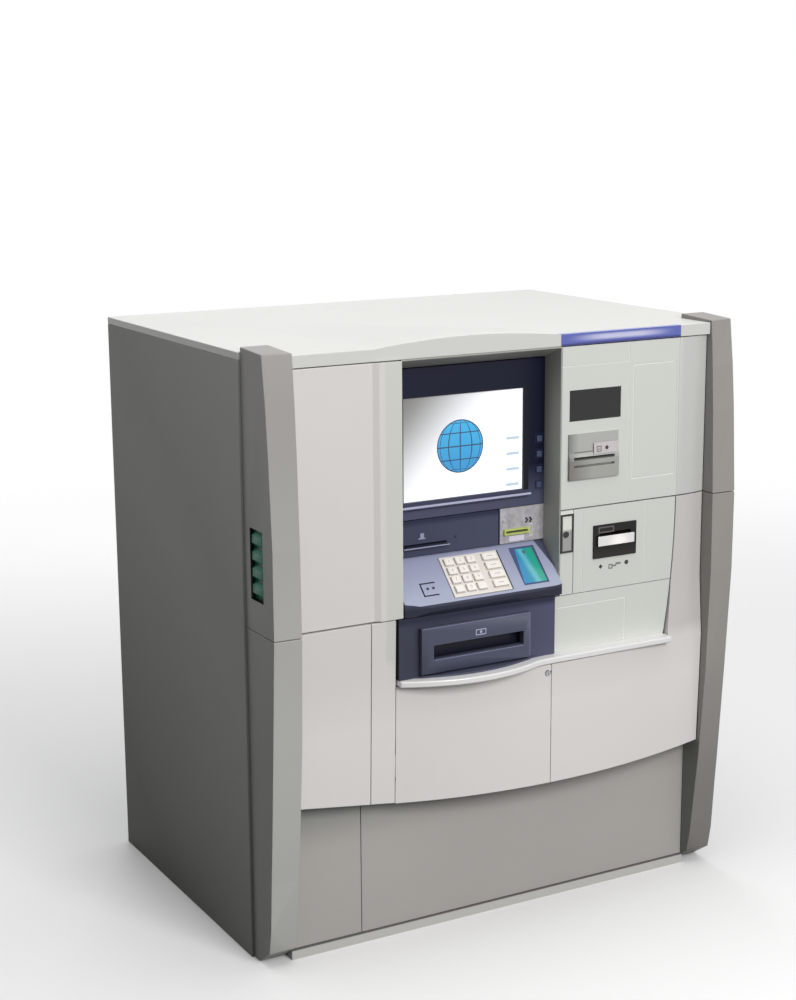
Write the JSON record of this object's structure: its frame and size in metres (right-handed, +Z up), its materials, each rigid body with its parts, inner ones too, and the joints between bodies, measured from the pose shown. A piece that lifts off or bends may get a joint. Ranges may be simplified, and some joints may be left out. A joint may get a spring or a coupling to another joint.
{
  "type": "cash machine",
  "caption": "Wide free-standing lobby cash machine with a recessed display bay, sloping keypad shelf, shuttered cash slot, side columns, service doors and a rear safe.",
  "frame": {"origin": "centre of the footprint, on the floor", "axes": "+Z up, the customer's side faces -Y, +X to the right as seen by the customer"},
  "size_m": [1.172, 0.903, 1.314],
  "materials": {
    "frame_steel": "powder coated steel",
    "side_paint": "powder coated sheet steel",
    "top_paint": "powder coated sheet steel",
    "blue_lens": "clear glossy lens over a lamp",
    "column_paint": "satin paint",
    "green_lens": "glossy lens",
    "door_paint": "satin paint",
    "bright_metal": "polished",
    "kick_paint": "satin paint",
    "liner_paint": "satin paint",
    "navy_plastic": "fine moulded texture",
    "screen_glass": "smooth display face",
    "reader_plastic": "fine moulded texture",
    "shelf_plastic": "fine moulded texture",
    "keypad_metal": "brushed",
    "key_plastic": "smooth moulded",
    "side_key_plastic": "smooth moulded",
    "cash_plastic": "fine moulded texture",
    "shutter_plastic": "smooth moulded",
    "ledge_paint": "satin metallic paint",
    "panel_paint": "satin paint",
    "module_plastic": "fine moulded texture",
    "deposit_plastic": "fine moulded texture",
    "lock_paint": "satin paint",
    "safe_steel": "powder coated steel plate",
    "cassette_plastic": "moulded cassettes in a steel rack",
    "computer_paint": "powder coated sheet steel"
  },
  "bodies": {
    "machine_body": {"carcass_frame": "frame_steel", "side_panel_left": "side_paint", "side_panel_right": "side_paint", "top_cover": "top_paint", "light_bar": "blue_lens", "column_left_upper": "column_paint", "column_left_lower": "column_paint", "column_right_upper": "column_paint", "column_right_lower": "column_paint", "status_lamp": "green_lens", "lower_left_panel": "door_paint", "lower_left_strip": "door_paint", "kick_panel_left": "kick_paint", "kick_panel_right": "kick_paint", "bay_liner": "liner_paint", "display_bezel": "navy_plastic", "display_screen": "screen_glass", "receipt_panel": "navy_plastic", "card_reader": "reader_plastic", "keyboard_shelf": "shelf_plastic", "keypad_plate": "keypad_metal", "dispenser_fascia": "cash_plastic", "parcel_ledge": "ledge_paint", "right_upper_panel": "panel_paint", "passbook_module": "module_plastic", "right_middle_panel": "panel_paint", "deposit_module": "deposit_plastic", "lock_module": "lock_paint", "right_lower_panel": "panel_paint", "safe_body": "safe_steel", "note_dispenser": "cassette_plastic", "computer": "computer_paint"},
    "upper_left_door": {"upper_left_door": "door_paint"},
    "lower_door_left": {"lower_door_left": "door_paint"},
    "lower_door_right": {"lower_door_right": "door_paint"},
    "door_lock": {"door_lock": "bright_metal"},
    "dispenser_shutter": {"dispenser_shutter": "shutter_plastic"},
    "rear_service_door": {"rear_service_door": "side_paint"},
    "safe_door": {"safe_door": "safe_steel"},
    "safe_handle": {"safe_handle": "bright_metal"},
    "number_key_1": {"number_key_1": "key_plastic"},
    "number_key_2": {"number_key_2": "key_plastic"},
    "number_key_3": {"number_key_3": "key_plastic"},
    "number_key_4": {"number_key_4": "key_plastic"},
    "number_key_5": {"number_key_5": "key_plastic"},
    "number_key_6": {"number_key_6": "key_plastic"},
    "number_key_7": {"number_key_7": "key_plastic"},
    "number_key_8": {"number_key_8": "key_plastic"},
    "number_key_9": {"number_key_9": "key_plastic"},
    "number_key_10": {"number_key_10": "key_plastic"},
    "number_key_11": {"number_key_11": "key_plastic"},
    "number_key_12": {"number_key_12": "key_plastic"},
    "wide_key_1": {"wide_key_1": "key_plastic"},
    "wide_key_2": {"wide_key_2": "key_plastic"},
    "wide_key_3": {"wide_key_3": "key_plastic"},
    "wide_key_4": {"wide_key_4": "key_plastic"},
    "side_key_1": {"side_key_1": "side_key_plastic"},
    "side_key_2": {"side_key_2": "side_key_plastic"},
    "side_key_3": {"side_key_3": "side_key_plastic"},
    "side_key_4": {"side_key_4": "side_key_plastic"}
  },
  "joints": [
    {"name": "upper_left_door_hinge", "type": "hinge", "parent": "machine_body", "child": "upper_left_door", "pos_m": [-0.5165, -0.3835, 1], "axis": [0, 0, -1], "range_deg": [0, 90]},
    {"name": "lower_door_left_hinge", "type": "hinge", "parent": "machine_body", "child": "lower_door_left", "pos_m": [-0.288, -0.38331, 0.45], "axis": [0, 0, -1], "range_deg": [0, 90]},
    {"name": "lower_door_right_hinge", "type": "hinge", "parent": "machine_body", "child": "lower_door_right", "pos_m": [0.5165, -0.38331, 0.45], "axis": [0, 0, 1], "range_deg": [0, 75]},
    {"name": "door_lock_turn", "type": "hinge", "parent": "lower_door_left", "child": "door_lock", "pos_m": [0.072, -0.41497, 0.566], "axis": [0, 1, 0], "range_deg": [0, 90]},
    {"name": "dispenser_shutter_slide", "type": "slide", "parent": "machine_body", "child": "dispenser_shutter", "axis": [0, 0, 1], "range_m": [0, 0.03]},
    {"name": "rear_service_door_hinge", "type": "hinge", "parent": "machine_body", "child": "rear_service_door", "pos_m": [0.5665, 0.4515, 1], "axis": [0, 0, -1], "range_deg": [0, 90]},
    {"name": "safe_door_hinge", "type": "hinge", "parent": "machine_body", "child": "safe_door", "pos_m": [0.2775, 0.3985, 0.356], "axis": [0, 0, -1], "range_deg": [0, 90]},
    {"name": "safe_handle_turn", "type": "hinge", "parent": "safe_door", "child": "safe_handle", "pos_m": [-0.18, 0.41, 0.356], "axis": [0, 1, 0], "range_deg": [0, 90]},
    {"name": "number_key_1_press", "type": "slide", "parent": "machine_body", "child": "number_key_1", "axis": [0, 0.7071, -0.7071], "range_m": [0, 0.002], "stiffness_N_per_m": 300, "springref_m": -0.002},
    {"name": "number_key_2_press", "type": "slide", "parent": "machine_body", "child": "number_key_2", "axis": [0, 0.7071, -0.7071], "range_m": [0, 0.002], "stiffness_N_per_m": 300, "springref_m": -0.002},
    {"name": "number_key_3_press", "type": "slide", "parent": "machine_body", "child": "number_key_3", "axis": [0, 0.7071, -0.7071], "range_m": [0, 0.002], "stiffness_N_per_m": 300, "springref_m": -0.002},
    {"name": "number_key_4_press", "type": "slide", "parent": "machine_body", "child": "number_key_4", "axis": [0, 0.7071, -0.7071], "range_m": [0, 0.002], "stiffness_N_per_m": 300, "springref_m": -0.002},
    {"name": "number_key_5_press", "type": "slide", "parent": "machine_body", "child": "number_key_5", "axis": [0, 0.7071, -0.7071], "range_m": [0, 0.002], "stiffness_N_per_m": 300, "springref_m": -0.002},
    {"name": "number_key_6_press", "type": "slide", "parent": "machine_body", "child": "number_key_6", "axis": [0, 0.7071, -0.7071], "range_m": [0, 0.002], "stiffness_N_per_m": 300, "springref_m": -0.002},
    {"name": "number_key_7_press", "type": "slide", "parent": "machine_body", "child": "number_key_7", "axis": [0, 0.7071, -0.7071], "range_m": [0, 0.002], "stiffness_N_per_m": 300, "springref_m": -0.002},
    {"name": "number_key_8_press", "type": "slide", "parent": "machine_body", "child": "number_key_8", "axis": [0, 0.7071, -0.7071], "range_m": [0, 0.002], "stiffness_N_per_m": 300, "springref_m": -0.002},
    {"name": "number_key_9_press", "type": "slide", "parent": "machine_body", "child": "number_key_9", "axis": [0, 0.7071, -0.7071], "range_m": [0, 0.002], "stiffness_N_per_m": 300, "springref_m": -0.002},
    {"name": "number_key_10_press", "type": "slide", "parent": "machine_body", "child": "number_key_10", "axis": [0, 0.7071, -0.7071], "range_m": [0, 0.002], "stiffness_N_per_m": 300, "springref_m": -0.002},
    {"name": "number_key_11_press", "type": "slide", "parent": "machine_body", "child": "number_key_11", "axis": [0, 0.7071, -0.7071], "range_m": [0, 0.002], "stiffness_N_per_m": 300, "springref_m": -0.002},
    {"name": "number_key_12_press", "type": "slide", "parent": "machine_body", "child": "number_key_12", "axis": [0, 0.7071, -0.7071], "range_m": [0, 0.002], "stiffness_N_per_m": 300, "springref_m": -0.002},
    {"name": "wide_key_1_press", "type": "slide", "parent": "machine_body", "child": "wide_key_1", "axis": [0, 0.7071, -0.7071], "range_m": [0, 0.002], "stiffness_N_per_m": 300, "springref_m": -0.002},
    {"name": "wide_key_2_press", "type": "slide", "parent": "machine_body", "child": "wide_key_2", "axis": [0, 0.7071, -0.7071], "range_m": [0, 0.002], "stiffness_N_per_m": 300, "springref_m": -0.002},
    {"name": "wide_key_3_press", "type": "slide", "parent": "machine_body", "child": "wide_key_3", "axis": [0, 0.7071, -0.7071], "range_m": [0, 0.002], "stiffness_N_per_m": 300, "springref_m": -0.002},
    {"name": "wide_key_4_press", "type": "slide", "parent": "machine_body", "child": "wide_key_4", "axis": [0, 0.7071, -0.7071], "range_m": [0, 0.002], "stiffness_N_per_m": 300, "springref_m": -0.002},
    {"name": "side_key_1_press", "type": "slide", "parent": "machine_body", "child": "side_key_1", "axis": [0, 1, 0], "range_m": [0, 0.0015], "stiffness_N_per_m": 300, "springref_m": -0.0015},
    {"name": "side_key_2_press", "type": "slide", "parent": "machine_body", "child": "side_key_2", "axis": [0, 1, 0], "range_m": [0, 0.0015], "stiffness_N_per_m": 300, "springref_m": -0.0015},
    {"name": "side_key_3_press", "type": "slide", "parent": "machine_body", "child": "side_key_3", "axis": [0, 1, 0], "range_m": [0, 0.0015], "stiffness_N_per_m": 300, "springref_m": -0.0015},
    {"name": "side_key_4_press", "type": "slide", "parent": "machine_body", "child": "side_key_4", "axis": [0, 1, 0], "range_m": [0, 0.0015], "stiffness_N_per_m": 300, "springref_m": -0.0015}
  ]
}
